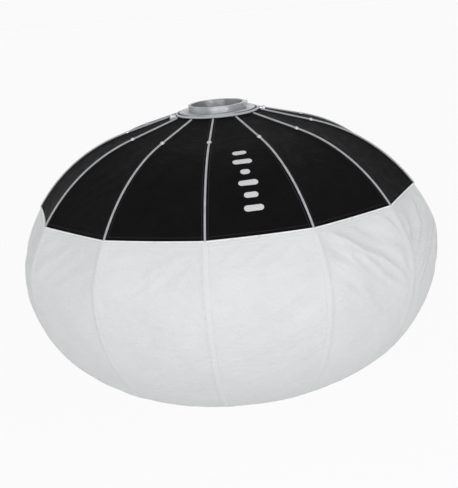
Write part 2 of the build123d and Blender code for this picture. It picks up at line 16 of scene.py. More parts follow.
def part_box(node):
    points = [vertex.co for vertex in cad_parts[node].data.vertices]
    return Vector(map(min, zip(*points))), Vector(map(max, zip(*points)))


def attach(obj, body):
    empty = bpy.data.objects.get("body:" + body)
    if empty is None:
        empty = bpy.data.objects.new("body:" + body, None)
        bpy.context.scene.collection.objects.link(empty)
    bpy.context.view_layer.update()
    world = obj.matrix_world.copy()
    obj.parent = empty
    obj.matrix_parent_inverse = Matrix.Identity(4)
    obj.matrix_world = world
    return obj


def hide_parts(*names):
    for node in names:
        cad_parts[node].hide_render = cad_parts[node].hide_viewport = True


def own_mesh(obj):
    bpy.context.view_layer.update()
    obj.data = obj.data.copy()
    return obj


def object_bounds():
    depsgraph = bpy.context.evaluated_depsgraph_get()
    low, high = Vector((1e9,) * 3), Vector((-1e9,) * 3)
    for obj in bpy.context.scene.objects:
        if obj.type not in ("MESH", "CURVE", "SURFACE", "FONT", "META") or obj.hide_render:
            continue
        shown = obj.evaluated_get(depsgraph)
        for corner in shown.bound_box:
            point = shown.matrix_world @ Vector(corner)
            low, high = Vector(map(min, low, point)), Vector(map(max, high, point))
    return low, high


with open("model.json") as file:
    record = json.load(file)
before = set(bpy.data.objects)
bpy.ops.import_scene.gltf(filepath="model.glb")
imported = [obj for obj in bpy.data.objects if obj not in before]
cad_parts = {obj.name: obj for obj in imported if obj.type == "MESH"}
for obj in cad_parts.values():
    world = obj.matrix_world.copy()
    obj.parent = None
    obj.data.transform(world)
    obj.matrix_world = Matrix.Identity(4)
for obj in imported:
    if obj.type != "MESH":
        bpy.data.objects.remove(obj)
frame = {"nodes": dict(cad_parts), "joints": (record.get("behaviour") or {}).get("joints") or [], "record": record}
cad_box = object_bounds()

# Driving sizes, from the frame
joints = {joint["name"]: joint for joint in frame["joints"]}
RING_PIVOT = Vector(joints["fold"]["pos_m"])
ELBOW = Vector(joints["elbow_01"]["pos_m"])
LANTERN_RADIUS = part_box("diffuser")[1].x
WIDEST_Z = ELBOW.z
RIM_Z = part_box("top_cover")[0].z
KNOB_LOW, KNOB_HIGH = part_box("thumb_screw_right")
PIVOT_RADIUS = hypot(*RING_PIVOT.xy)
HUB_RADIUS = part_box("hub_plate")[1].x
CAP_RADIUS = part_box("base_cap")[1].x
RIB_COUNT = 12
RIB_STEP = 2 * pi / RIB_COUNT
HALF_STEP = RIB_STEP / 2
RIB_ONE = -pi / 2
BODIES = [f"{number:02d}" for number in range(1, RIB_COUNT + 1)]

# The rib line: arc radii and the headings at which one stretch gives way to the next, as in the CAD
CROWN_RADIUS = 0.322
SHOULDER_RADIUS = 0.112
BELLY_RADIUS = 0.252
BASE_RADIUS = 0.328
ARM_HEADING = radians(16)
SHOULDER_HEADING = radians(69)
BASE_HEADING = radians(142)
COLLAR_RADIUS = 0.078
BASE_OPENING = 0.040

# Steel fittings on the painted arms and rods: how far the stud, the elbow's fork and the hub's eye reach
STUD_REACH = 0.02
FORK_REACH = 0.0225
EYE_REACH = 0.0905

# Cloth: the grid of points and the widths of the bands
GRID = 0.0055
PANEL_COLUMNS = 16
TOP_PITCH = 0.052
WAIST_PITCH = 0.018
BASE_PITCH = 0.034
WAIST_LENGTH = 0.170
NORMAL_STEP = 0.0010

# How the cloth fills out between the ribs, from a flat chord (0) to a full circle (1)
RIB_ROUNDING = 0.003
GORE_SAG = 0.004
BELLY_FULLNESS = 0.65
BASE_FULLNESS = 0.92
FILLING_OUT = 0.16
LINING_GAP = 0.0012

# Seams, hems and cords
SEAM_WIDTH = 0.007
HEM_WIDTH = 0.010
SEAM_EDGE = 0.0004
SEAM_RISE = 0.0004
PIPING_RADIUS = 0.0019
PIPING_LIFT = 0.0006
PIPING_STEPS = 64
PIPING_SIDES = 10
RIM_CORD_RADIUS = 0.0018
RIM_CORD_LIFT = 0.0004
RIM_CORD_SIDES = 8
NOTCH_DEPTH = 0.018
NOTCH_HALF_WIDTH = 0.007
NOTCH_EDGE = 0.003

# The patch under the hub, and how far the gores' ends reach under it
GORE_TUCK = 0.004
PATCH_OVERHANG = 0.002
PATCH_LIFT = 0.0007
PATCH_COLUMNS = 96

# The printed mark: plain bars down the middle of a gore
MARK_PITCH = 0.027
MARK_HALF_BAR = 0.0060
MARK_FROM_KINK = 0.040
MARK_WIDTHS = [0.026, 0.036, 0.018, 0.036, 0.026, 0.036]
MARK_COLUMNS = 8
MARK_ROWS = 6
END_ROUNDING = 0.96
PRINT_LIFT = 0.0004

# Creases: depths, the distances over which the cloth is held down, and waves per metre
CREASE_ROUNDING = 0.0006
CREASE_SHARPNESS = 0.4
CREASE_LEAN = 0.95
LEAN_SPREAD = 0.7
LEAN_BACK_ABOVE = 0.12
CREASE_WAVES = (34, 8)
BROAD_WAVES = (9, 6)
BLACK_BROAD = 0.0010
BLACK_CREASE = 0.0007
WHITE_BROAD = 0.0018
WHITE_CREASE = 0.0010
RIM_CREASE = 0.0095
RIM_CREASE_LENGTH = 0.24
HELD_AT_RIB = 0.045
HELD_AT_COLLAR = 0.05
HELD_AT_END = 0.12
BLACK_HELD_AT_RIM = 0.03
WHITE_HELD_AT_RIM = 0.035

# How slack each gore hangs, from the one right of rib one
GORE_SLACK = [0.25, 1.0, 0.9, 0.5, 0.35, 0.6, 0.4, 0.55, 0.7, 0.3, 0.25, 0.2]

# Steps through the noise from gore to gore, and slices of it, so that no two gores crease alike
LEAN_STEP, LEAN_SLICE = 5.37, 2.1
SIDE_STEP, SIDE_SLICE = 3.11, 8.2
CREASE_STEP = 11.3
BROAD_STEP = 4.9
BLACK_SEED = 1.7
WHITE_SEED = 6.4

# Stitching, weave and relief in the cloth's materials
MASK_EDGE = 0.0005
STITCH_PITCH = 0.0034
STITCH_HALF_WIDTH = 0.0004
STITCH_EDGE = 0.0003
SEAM_STITCH_INSET = 0.0016
HEM_STITCH_INSET = 0.002
CLOTH_WEAVE = 0.0011
CLOTH_RELIEF = 0.0026
LINING_WEAVE = 0.0012
LINING_RELIEF = 0.0008

# Stage
FLOOR_REACH = 60
FLOOR_LEVEL = -4.5
FLOOR_GLOW = 0.076
SKY_STRENGTH = 0.95
CAMERA_AZIMUTH = radians(6.3)
CAMERA_ELEVATION = radians(14.1)
CAMERA_ROLL = radians(5)
CAMERA_DISTANCE = 2.63
CAMERA_LENS_MM = 100
CAMERA_SENSOR_MM = 36


# The rib line

def point_on(centre, radius, heading):
    """A point of an arc of the rib line, as (radius, height)."""
    return centre[0] + radius * sin(heading), centre[1] + radius * cos(heading)


def rib_stretches():
    """The rib line's stretches, as (start, end, centre, radius, first heading, last heading).

    A straight stretch has its first point in place of a centre, and no radius.
    """
    shoulder = (LANTERN_RADIUS - SHOULDER_RADIUS, WIDEST_Z)
    crown = point_on(shoulder, SHOULDER_RADIUS - CROWN_RADIUS, SHOULDER_HEADING)
    belly = (LANTERN_RADIUS - BELLY_RADIUS, WIDEST_Z)
    base = point_on(belly, BELLY_RADIUS - BASE_RADIUS, BASE_HEADING)
    kink = point_on(crown, CROWN_RADIUS, ARM_HEADING)
    collar = (COLLAR_RADIUS, kink[1] + (kink[0] - COLLAR_RADIUS) * tan(ARM_HEADING))
    arcs = [
        (crown, CROWN_RADIUS, ARM_HEADING, SHOULDER_HEADING),
        (shoulder, SHOULDER_RADIUS, SHOULDER_HEADING, pi / 2),
        (belly, BELLY_RADIUS, pi / 2, BASE_HEADING),
        (base, BASE_RADIUS, BASE_HEADING, pi),
    ]
    travelled = hypot(kink[0] - collar[0], kink[1] - collar[1])
    stretches = [(0, travelled, collar, None, ARM_HEADING, ARM_HEADING)]
    for centre, radius, first, last in arcs:
        length = radius * (last - first)
        stretches.append((travelled, travelled + length, centre, radius, first, last))
        travelled += length
    bottom = point_on(base, BASE_RADIUS, pi)
    stretches.append((travelled, travelled + bottom[0] - BASE_OPENING, bottom, None, pi, pi))
    return stretches


STRETCHES = rib_stretches()
ARM, CROWN, SHOULDER = STRETCHES[:3]
RIM_HEADING_COS = (RIM_Z - CROWN[2][1]) / CROWN_RADIUS
RIM_HEADING = atan2(sqrt(1 - RIM_HEADING_COS**2), RIM_HEADING_COS)
RIM_AT = CROWN[0] + CROWN_RADIUS * (RIM_HEADING - ARM_HEADING)
KINK_AT = ARM[1]
ELBOW_AT = SHOULDER[1]
END_AT = STRETCHES[-1][1]
GORES_END_AT = END_AT - (HUB_RADIUS - GORE_TUCK - BASE_OPENING)


def place(distance):
    """(radius, height, heading) of the rib line at a distance from the collar."""
    for start, end, anchor, radius, first, _ in STRETCHES:
        if distance <= end or end == END_AT:
            break
    if radius is None:
        along = distance - start
        return anchor[0] + along * cos(first), anchor[1] - along * sin(first), first
    heading = first + (distance - start) / radius
    return (*point_on(anchor, radius, heading), heading)


# Folding

def turned_reach(outward, upward, turn):
    """How far out a point lies once it has swung down and in by a turn."""
    return outward * cos(turn) + upward * sin(turn)


def folded_share(distance):
    """The share of its width that the cloth keeps, at a distance, when the ribs are folded."""
    fold = radians(max(joints["fold"]["range_deg"], key=abs))
    radius, height, _ = place(distance)
    elbow_radius = hypot(*ELBOW.xy)
    folded_elbow = PIVOT_RADIUS + turned_reach(elbow_radius - PIVOT_RADIUS, ELBOW.z - RING_PIVOT.z, fold)
    if distance > ELBOW_AT:
        folded = folded_elbow + turned_reach(radius - elbow_radius, height - ELBOW.z, -fold)
    else:
        folded = PIVOT_RADIUS + turned_reach(radius - PIVOT_RADIUS, height - RING_PIVOT.z, fold)
    return min(folded / radius, 1.0)


def cut_bands(name, start, end, half, pitch):
    """Narrow bands of cloth from start to end, as (name, start, end, half of the rib, share kept)."""
    count = ceil((end - start) / pitch)
    bands = []
    for band in range(count):
        first = start + (end - start) * band / count
        last = start + (end - start) * (band + 1) / count
        keep = max(folded_share(first), folded_share(last))
        bands.append((f"{name}_{band + 1}", first, last, half, keep))
    return bands


WAIST_END_AT = ELBOW_AT + WAIST_LENGTH
TOP_BANDS = cut_bands("top", 0, RIM_AT, "upper", TOP_PITCH)
WHITE_BANDS = cut_bands("diffuser", RIM_AT, ELBOW_AT, "upper", WAIST_PITCH)
WHITE_BANDS += cut_bands("diffuser_low", ELBOW_AT, WAIST_END_AT, "lower", WAIST_PITCH)
WHITE_BANDS += cut_bands("diffuser_base", WAIST_END_AT, GORES_END_AT, "lower", BASE_PITCH)


# The cloth's surface

def smooth(value):
    """An even step from 0 to 1."""
    value = min(max(value, 0), 1)
    return value * value * (3 - 2 * value)


def rib_of(azimuth):
    """(azimuth of the nearest rib, number of the gore) at an azimuth."""
    turns = (azimuth - RIB_ONE) / RIB_STEP
    return RIB_ONE + RIB_STEP * floor(turns + 0.5), floor(turns) % RIB_COUNT


def crease(across, along, gore, seed):
    """Sharp-topped folds, long in one direction, different in each gore."""
    lean = CREASE_LEAN + LEAN_SPREAD * noise.noise(Vector((gore * LEAN_STEP, seed, LEAN_SLICE)))
    if noise.noise(Vector((gore * SIDE_STEP, SIDE_SLICE, seed))) > LEAN_BACK_ABOVE:
        lean = -lean
    x = across * cos(lean) + along * sin(lean)
    y = along * cos(lean) - across * sin(lean)
    waves = Vector((x * CREASE_WAVES[0], y * CREASE_WAVES[1], gore * CREASE_STEP + seed))
    wave = noise.noise(waves)
    return 1 - 2 * (wave * wave + CREASE_ROUNDING) ** CREASE_SHARPNESS


def wrinkles(distance, azimuth, radius, from_rib, gore):
    """How far the cloth stands off its even shape, held down at the ribs, the rim and both ends."""
    side = from_rib * radius
    end = END_AT - distance
    held = smooth(side / HELD_AT_RIB) * smooth(distance / HELD_AT_COLLAR) * smooth(end / HELD_AT_END)
    rim = abs(distance - RIM_AT)
    turns = (azimuth - RIB_ONE) / RIB_STEP
    across = (turns - floor(turns) - 0.5) * RIB_STEP * radius
    broad = noise.noise(Vector((across * BROAD_WAVES[0], distance * BROAD_WAVES[1], gore * BROAD_STEP)))
    if distance < RIM_AT:
        depth = BLACK_BROAD * broad + BLACK_CREASE * crease(across, distance, gore, BLACK_SEED)
        return depth * held * smooth(rim / BLACK_HELD_AT_RIM)
    near_rim = 1 - smooth(rim / RIM_CREASE_LENGTH)
    crease_depth = WHITE_CREASE + RIM_CREASE * GORE_SLACK[gore] * near_rim
    depth = WHITE_BROAD * broad + crease_depth * crease(across, distance, gore, WHITE_SEED)
    return depth * held * smooth(rim / WHITE_HELD_AT_RIM)


def doubled_rise(distance, side):
    """How far the doubled cloth of a seam or of the rim's hem stands up."""
    seam = 1 - smooth((side - SEAM_WIDTH) / (2 * SEAM_EDGE) + 0.5)
    hem = 1 - smooth((abs(distance - RIM_AT) - HEM_WIDTH) / (2 * SEAM_EDGE) + 0.5)
    return SEAM_RISE * max(seam, hem)


def cloth_point(distance, azimuth, lift=0.0):
    """A point of the cloth, lifted off its surface by lift."""
    radius, height, heading = place(distance)
    rib, gore = rib_of(azimuth)
    from_rib = min(abs(azimuth - rib), HALF_STEP)
    rounded = sqrt(from_rib**2 + (RIB_ROUNDING / radius) ** 2)
    full = BELLY_FULLNESS * smooth((distance - RIM_AT) / FILLING_OUT)
    sag_share = 1 - full / BELLY_FULLNESS
    full += (BASE_FULLNESS - BELLY_FULLNESS) * smooth((distance - ELBOW_AT) / FILLING_OUT)
    chord = radius * (full + (1 - full) * cos(HALF_STEP) / cos(HALF_STEP - rounded))
    middle = (from_rib / HALF_STEP) * (2 - from_rib / HALF_STEP)
    sag = GORE_SAG * sag_share * smooth(distance / KINK_AT)
    off = lift - sag * middle * (radius / LANTERN_RADIUS)
    off += wrinkles(distance, azimuth, radius, from_rib, gore) + doubled_rise(distance, from_rib * radius)
    chord += off * sin(heading)
    return Vector((chord * cos(azimuth), chord * sin(azimuth), height + off * cos(heading)))


def cloth_normal(distance, azimuth):
    """The cloth's outward normal, from the surface on either side of the point."""
    turn = NORMAL_STEP / place(distance)[0]
    along = cloth_point(distance + NORMAL_STEP, azimuth) - cloth_point(distance - NORMAL_STEP, azimuth)
    across = cloth_point(distance, azimuth + turn) - cloth_point(distance, azimuth - turn)
    return across.cross(along).normalized() * -1


def knob_notch(azimuth):
    """How far the collar's edge is cut back round the thumb screws' knobs."""
    knob = atan2(KNOB_LOW.y + KNOB_HIGH.y, KNOB_LOW.x + KNOB_HIGH.x)
    apart = abs((azimuth - knob + pi / 2) % pi - pi / 2) * COLLAR_RADIUS
    return NOTCH_DEPTH * (1 - smooth((apart - NOTCH_HALF_WIDTH) / NOTCH_EDGE))


# Meshes

def new_mesh(name, points, faces, material, uvs=None, normals=None):
    """A smooth mesh object with one material."""
    mesh = bpy.data.meshes.new(name)
    mesh.from_pydata(points, [], faces)
    mesh.materials.append(material)
    mesh.shade_smooth()
    if uvs:
        layer = mesh.uv_layers.new(name="cut")
        for loop in mesh.loops:
            layer.data[loop.index].uv = uvs[loop.vertex_index]
    if normals:
        mesh.normals_split_custom_set_from_vertices(normals)
    piece = bpy.data.objects.new(name, mesh)
    bpy.context.scene.collection.objects.link(piece)
    return piece


def grid_faces(rows, columns, turned=False):
    """Faces of a grid of (rows + 1) by (columns + 1) points, listed row by row."""
    faces = []
    for row in range(rows):
        for column in range(columns):
            corner = row * (columns + 1) + column
            face = (corner, corner + columns + 1, corner + columns + 2, corner + 1)
            faces.append(tuple(reversed(face)) if turned else face)
    return faces


def row_distances(start, end):
    """Distances of a sheet's rows along the rib line, with extra rows at the edges of the rim's hem."""
    count = max(2, ceil((end - start) / GRID))
    rows = [start + (end - start) * row / count for row in range(count + 1)]
    edges = [RIM_AT + side * (HEM_WIDTH + edge) for side in (-1, 1) for edge in (-SEAM_EDGE, SEAM_EDGE)]
    edges = [edge for edge in edges if start < edge < end]
    inner = [row for row in rows[1:-1] if all(abs(row - edge) > GRID / 4 for edge in edges)]
    return sorted([start, end] + inner + edges)


def column_turns(radius):
    """Azimuths of a sheet's columns from its rib, with columns of their own at the edges of the seam."""
    seam = [side / radius for side in (0, SEAM_WIDTH / 2, SEAM_WIDTH - SEAM_EDGE, SEAM_WIDTH + SEAM_EDGE)]
    rest = HALF_STEP - seam[-1]
    half = seam + [seam[-1] + rest * (column + 1) / PANEL_COLUMNS for column in range(PANEL_COLUMNS)]
    return [-turn for turn in reversed(half[1:])] + half


def cloth_sheet(name, rib, start, end, material, lift=0.0, inside=False):
    """One rib's share of the cloth, from start to end along the rib line."""
    rib_azimuth = RIB_ONE + RIB_STEP * rib
    points, uvs, normals = [], [], []
    rows = row_distances(start, end)
    for row in rows:
        for turn in column_turns(place(row)[0]):
            azimuth = rib_azimuth + turn
            notch = knob_notch(azimuth) if start == 0 else 0
            distance = row + notch * (end - row) / (end - start)
            points.append(cloth_point(distance, azimuth, lift))
            uvs.append((turn * place(distance)[0], distance))
            normal = cloth_normal(distance, azimuth)
            normals.append(-normal if inside else normal)
    faces = grid_faces(len(rows) - 1, len(points) // len(rows) - 1, inside)
    return new_mesh(name, points, faces, material, uvs, normals)


def tube_faces(rings, sides):
    """Faces of a tube of rings with as many points each as it has sides, and of its flat ends."""
    faces = []
    for ring in range(rings - 1):
        for side in range(sides):
            a, b = ring * sides + side, ring * sides + (side + 1) % sides
            faces.append((a, b, b + sides, a + sides))
    faces.append(tuple(reversed(range(sides))))
    faces.append(tuple(range((rings - 1) * sides, rings * sides)))
    return faces


def tube(name, line, radius, material, sides):
    """A closed round cord along a list of points."""
    points, uvs = [], []
    travelled = 0.0
    for index, point in enumerate(line):
        before, after = line[max(index - 1, 0)], line[min(index + 1, len(line) - 1)]
        direction = (after - before).normalized()
        across = direction.cross(Vector((0, 0, 1))).normalized()
        up = across.cross(direction)
        travelled += (point - before).length
        for side in range(sides):
            turn = 2 * pi * side / sides
            points.append(point + radius * (cos(turn) * across + sin(turn) * up))
            uvs.append((side / sides * 2 * pi * radius, travelled))
    return new_mesh(name, points, tube_faces(len(line), sides), material, uvs)


# Shader nodes

def new_material(name):
    """A material with a Principled shader, as (material, node tree, shader)."""
    material = bpy.data.materials.new(name)
    material.use_nodes = True
    tree = material.node_tree
    return material, tree, tree.nodes["Principled BSDF"]


def calc(tree, operation, first, second=0.0, third=0.0):
    """A math node's output.  Each input is a number or another node's output."""
    node = tree.nodes.new("ShaderNodeMath")
    node.operation = operation
    for socket, value in zip(node.inputs, (first, second, third)):
        if isinstance(value, (int, float)):
            socket.default_value = value
        else:
            tree.links.new(value, socket)
    return node.outputs[0]


def noise_at(tree, coordinate, scale, detail=3.0, roughness=0.5):
    """A noise texture's value, from 0 to 1."""
    node = tree.nodes.new("ShaderNodeTexNoise")
    node.inputs["Scale"].default_value = scale
    node.inputs["Detail"].default_value = detail
    node.inputs["Roughness"].default_value = roughness
    tree.links.new(coordinate, node.inputs["Vector"])
    return node.outputs[0]


def mixed(tree, factor, first, second):
    """Two colours mixed by a factor.  Each is a colour or a node's output."""
    node = tree.nodes.new("ShaderNodeMix")
    node.data_type = "RGBA"
    sockets = [s for s in node.inputs if s.type == "RGBA"]
    tree.links.new(factor, node.inputs["Factor"])
    for socket, value in zip(sockets, (first, second)):
        if isinstance(value, tuple):
            socket.default_value = (*value, 1)
        else:
            tree.links.new(value, socket)
    return next(s for s in node.outputs if s.type == "RGBA")


def ramp(tree, value, low, high, bottom=0.0, top=1.0):
    """A value's range mapped evenly onto another and clamped."""
    node = tree.nodes.new("ShaderNodeMapRange")
    tree.links.new(value, node.inputs["Value"])
    for key, number in (("From Min", low), ("From Max", high), ("To Min", bottom), ("To Max", top)):
        node.inputs[key].default_value = number
    return node.outputs[0]


def bump(tree, shader, height, depth):
    """Feeds a height into the shader's normal."""
    node = tree.nodes.new("ShaderNodeBump")
    node.inputs["Strength"].default_value = 1.0
    node.inputs["Distance"].default_value = depth
    tree.links.new(height, node.inputs["Height"])
    tree.links.new(node.outputs[0], shader.inputs["Normal"])


def split_axes(tree, coordinates):
    """The separate axes of coordinates."""
    split = tree.nodes.new("ShaderNodeSeparateXYZ")
    tree.links.new(coordinates, split.inputs[0])
    return split.outputs


def cut_coordinates(tree):
    """(coordinates, across the rib, along the rib) on the cloth as it was cut, in metres."""
    uv = tree.nodes.new("ShaderNodeUVMap")
    uv.uv_map = "cut"
    across, along, _ = split_axes(tree, uv.outputs[0])
    return uv.outputs[0], across, along


def object_coordinates(tree):
    """Coordinates in the object's own frame, in metres."""
    return tree.nodes.new("ShaderNodeTexCoord").outputs["Object"]


def stretched(tree, coordinates, scale):
    """Coordinates scaled along each axis."""
    node = tree.nodes.new("ShaderNodeMapping")
    node.inputs["Scale"].default_value = scale
    tree.links.new(coordinates, node.inputs["Vector"])
    return node.outputs[0]


def ripple(tree, value, pitch):
    """A sine wave of a pitch."""
    return calc(tree, "SINE", calc(tree, "MULTIPLY", value, 2 * pi / pitch))


def weave(tree, across, along, pitch):
    """Height of a plain weave, from 0 to 1."""
    crossed = calc(tree, "MULTIPLY", ripple(tree, across, pitch), ripple(tree, along, pitch))
    return calc(tree, "MULTIPLY_ADD", crossed, 0.5, 0.5)


def stitches(tree, along, apart):
    """Dashes of thread along a line, given how far the line is."""
    line = ramp(tree, apart, STITCH_HALF_WIDTH, STITCH_HALF_WIDTH + STITCH_EDGE, 1.0, 0.0)
    phase = calc(tree, "FRACT", calc(tree, "DIVIDE", along, STITCH_PITCH))
    from_middle = calc(tree, "ABSOLUTE", calc(tree, "SUBTRACT", phase, 0.5))
    dash = ramp(tree, from_middle, low=0.28, high=0.36, bottom=1.0, top=0.0)
    return calc(tree, "MULTIPLY", dash, line)


def distance_to(tree, value, centre):
    """How far a value is from a centre."""
    return calc(tree, "ABSOLUTE", calc(tree, "SUBTRACT", value, centre))


# Materials

def sewing(tree, across, along, rim_side):
    """(doubled cloth, thread) as masks, for a seam along the rib and a hem at the rim."""
    from_seam = calc(tree, "ABSOLUTE", across)
    from_rim = calc(tree, "MULTIPLY", calc(tree, "SUBTRACT", along, RIM_AT), rim_side)
    seam = ramp(tree, from_seam, SEAM_WIDTH - MASK_EDGE, SEAM_WIDTH + MASK_EDGE, 1.0, 0.0)
    hem = ramp(tree, from_rim, HEM_WIDTH - MASK_EDGE, HEM_WIDTH + MASK_EDGE, 1.0, 0.0)
    sewn = stitches(tree, along, distance_to(tree, from_seam, SEAM_WIDTH - SEAM_STITCH_INSET))
    sewn_hem = stitches(tree, across, distance_to(tree, from_rim, HEM_WIDTH - HEM_STITCH_INSET))
    return calc(tree, "MAXIMUM", seam, hem), calc(tree, "MAXIMUM", sewn, sewn_hem)


def cloth_relief(tree, coordinates, across, along, thread_mask):
    """Height of the weave, its crinkles, its streaks across the gore and the thread."""
    crinkle = noise_at(tree, coordinates, scale=95, detail=5, roughness=0.62)
    along_rib = stretched(tree, coordinates, (0.35, 1, 1))
    streaks = noise_at(tree, along_rib, scale=130, detail=4, roughness=0.6)
    height = calc(tree, "MULTIPLY", weave(tree, across, along, CLOTH_WEAVE), 0.10)
    height = calc(tree, "MULTIPLY_ADD", crinkle, 0.7, height)
    height = calc(tree, "MULTIPLY_ADD", streaks, 0.55, height)
    return calc(tree, "MULTIPLY_ADD", thread_mask, 0.1, height)


def sewn_cloth(name, dark, light, slub, doubled, thread_and_shade, rim_side):
    """Woven cloth with a sewn seam along the rib, a hem at the rim and stitches along both.  The stitches take the
    thread colour, which on the white cloth is a darker grey painted as the stitches' shade.
    """
    material, tree, shader = new_material(name)
    coordinates, across, along = cut_coordinates(tree)
    doubled_mask, thread_mask = sewing(tree, across, along, rim_side)
    cloudy = ramp(tree, noise_at(tree, coordinates, scale=14, detail=4, roughness=0.6), low=0.3, high=0.7)
    slubs = ramp(tree, noise_at(tree, coordinates, scale=420, detail=2), low=0.35, high=0.65)
    base = mixed(tree, cloudy, dark, light)
    base = mixed(tree, calc(tree, "MULTIPLY", slubs, 0.35), base, slub)
    base = mixed(tree, calc(tree, "MULTIPLY", doubled_mask, 0.4), base, doubled)
    # Stitches take the thread colour: real grey thread on the black cloth, painted shade of the stitches on the
    # white cloth.
    base = mixed(tree, thread_mask, base, thread_and_shade)
    tree.links.new(base, shader.inputs["Base Color"])
    bump(tree, shader, cloth_relief(tree, coordinates, across, along, thread_mask), CLOTH_RELIEF)
    return material, tree, shader, coordinates


def black_cloth():
    """Black nylon of the top, with a faint sheen."""
    material, tree, shader, coordinates = sewn_cloth(
        "black_cloth",
        dark=(0.0030, 0.0030, 0.0033),
        light=(0.0050, 0.0050, 0.0055),
        slub=(0.0085, 0.0085, 0.0094),
        doubled=(0.0026, 0.0026, 0.0029),
        thread_and_shade=(0.03, 0.03, 0.032),
        rim_side=-1,
    )
    uneven = noise_at(tree, coordinates, scale=40, detail=4, roughness=0.6)
    rough = ramp(tree, uneven, low=0.3, high=0.7, bottom=0.46, top=0.62)
    tree.links.new(rough, shader.inputs["Roughness"])
    shader.inputs["Specular IOR Level"].default_value = 0.012
    shader.inputs["Sheen Weight"].default_value = 0.004
    shader.inputs["Sheen Roughness"].default_value = 0.4
    return material


def white_cloth():
    """White diffusion cloth."""
    material, tree, shader, coordinates = sewn_cloth(
        "white_cloth",
        dark=(0.500, 0.509, 0.517),
        light=(0.541, 0.548, 0.551),
        slub=(0.476, 0.486, 0.496),
        doubled=(0.541, 0.549, 0.554),
        # Thread colour darker than the cloth: painted shade of the white stitches.
        thread_and_shade=(0.476, 0.486, 0.495),
        rim_side=1,
    )
    uneven = noise_at(tree, coordinates, scale=30, detail=4, roughness=0.6)
    rough = ramp(tree, uneven, low=0.3, high=0.7, bottom=0.6, top=0.74)
    tree.links.new(rough, shader.inputs["Roughness"])
    shader.inputs["Sheen Weight"].default_value = 0.12
    shader.inputs["Sheen Roughness"].default_value = 0.5
    return material


def silver_lining():
    """Woven silver cloth inside the black top, slightly worn."""
    material, tree, shader = new_material("silver_lining")
    coordinates, across, along = cut_coordinates(tree)
    wear = ramp(tree, noise_at(tree, coordinates, scale=60, detail=5, roughness=0.6), low=0.3, high=0.7)
    tree.links.new(mixed(tree, wear, (0.55, 0.56, 0.57), (0.72, 0.73, 0.74)), shader.inputs["Base Color"])
    rough = ramp(tree, wear, low=0, high=1, bottom=0.28, top=0.42)
    tree.links.new(rough, shader.inputs["Roughness"])
    shader.inputs["Metallic"].default_value = 0.9
    crinkle = noise_at(tree, coordinates, scale=120, detail=5)
    height = calc(tree, "MULTIPLY_ADD", weave(tree, across, along, LINING_WEAVE), 0.2, crinkle)
    bump(tree, shader, height, LINING_RELIEF)
    return material


def cord_cloth(name, dark, light, pitch):
    """Braided cord, for the piping and the hems, with painted shade in the braid's grooves."""
    material, tree, shader = new_material(name)
    coordinates, across, along = cut_coordinates(tree)
    twist = ripple(tree, calc(tree, "ADD", along, across), pitch)
    back = ripple(tree, calc(tree, "SUBTRACT", along, across), pitch)
    braid = calc(tree, "MAXIMUM", twist, back)
    grime = ramp(tree, noise_at(tree, coordinates, scale=60, detail=4), low=0.35, high=0.7)
    # Colour: lighter on the braid's ridges and darker in its grooves as painted shade, plus random grime.
    shade = calc(tree, "MULTIPLY_ADD", braid, 0.3, calc(tree, "MULTIPLY_ADD", grime, 0.4, 0.2))
    tree.links.new(mixed(tree, shade, dark, light), shader.inputs["Base Color"])
    shader.inputs["Roughness"].default_value = 0.7
    shader.inputs["Sheen Weight"].default_value = 0.2
    bump(tree, shader, braid, depth=0.0003)
    return material


def printed_mark():
    """Light grey screen print, slightly uneven."""
    material, tree, shader = new_material("printed_mark")
    coordinates = object_coordinates(tree)
    worn = ramp(tree, noise_at(tree, coordinates, scale=700, detail=4, roughness=0.7), low=0.35, high=0.6)
    tree.links.new(mixed(tree, worn, (0.30, 0.30, 0.31), (0.48, 0.48, 0.49)), shader.inputs["Base Color"])
    shader.inputs["Roughness"].default_value = 0.6
    bump(tree, shader, noise_at(tree, coordinates, scale=900, detail=2), depth=0.0002)
    return material


def coated(name, dark, light, roughness, grain, depth, metallic=0.0):
    """Painted, moulded or cast surface: mottled colour, uneven roughness, fine grain."""
    material, tree, shader = new_material(name)
    coordinates = object_coordinates(tree)
    mottle = ramp(tree, noise_at(tree, coordinates, scale=35, detail=5, roughness=0.6), low=0.3, high=0.7)
    speck = ramp(tree, noise_at(tree, coordinates, grain, detail=2), low=0.4, high=0.6)
    shade = calc(tree, "MULTIPLY_ADD", mottle, 0.6, calc(tree, "MULTIPLY", speck, 0.4))
    tree.links.new(mixed(tree, shade, dark, light), shader.inputs["Base Color"])
    rough = ramp(tree, mottle, low=0, high=1, bottom=roughness - 0.06, top=roughness + 0.08)
    tree.links.new(rough, shader.inputs["Roughness"])
    shader.inputs["Metallic"].default_value = metallic
    bump(tree, shader, speck, depth)
    return material


def turned_metal(name, dark, light, roughness, pitch):
    """Metal turned on a lathe: fine rings about the Z axis and smudges."""
    material, tree, shader = new_material(name)
    coordinates = object_coordinates(tree)
    x, y, z = split_axes(tree, coordinates)
    square = calc(tree, "MULTIPLY_ADD", x, x, calc(tree, "MULTIPLY", y, y))
    rings = ripple(tree, calc(tree, "ADD", calc(tree, "SQRT", square), z), pitch)
    smudge = ramp(tree, noise_at(tree, coordinates, scale=28, detail=5, roughness=0.65), low=0.3, high=0.7)
    tree.links.new(mixed(tree, smudge, dark, light), shader.inputs["Base Color"])
    rough = ramp(tree, smudge, low=0, high=1, bottom=roughness + 0.1, top=roughness - 0.05)
    tree.links.new(rough, shader.inputs["Roughness"])
    shader.inputs["Metallic"].default_value = 1.0
    bump(tree, shader, rings, depth=0.00004)
    return material


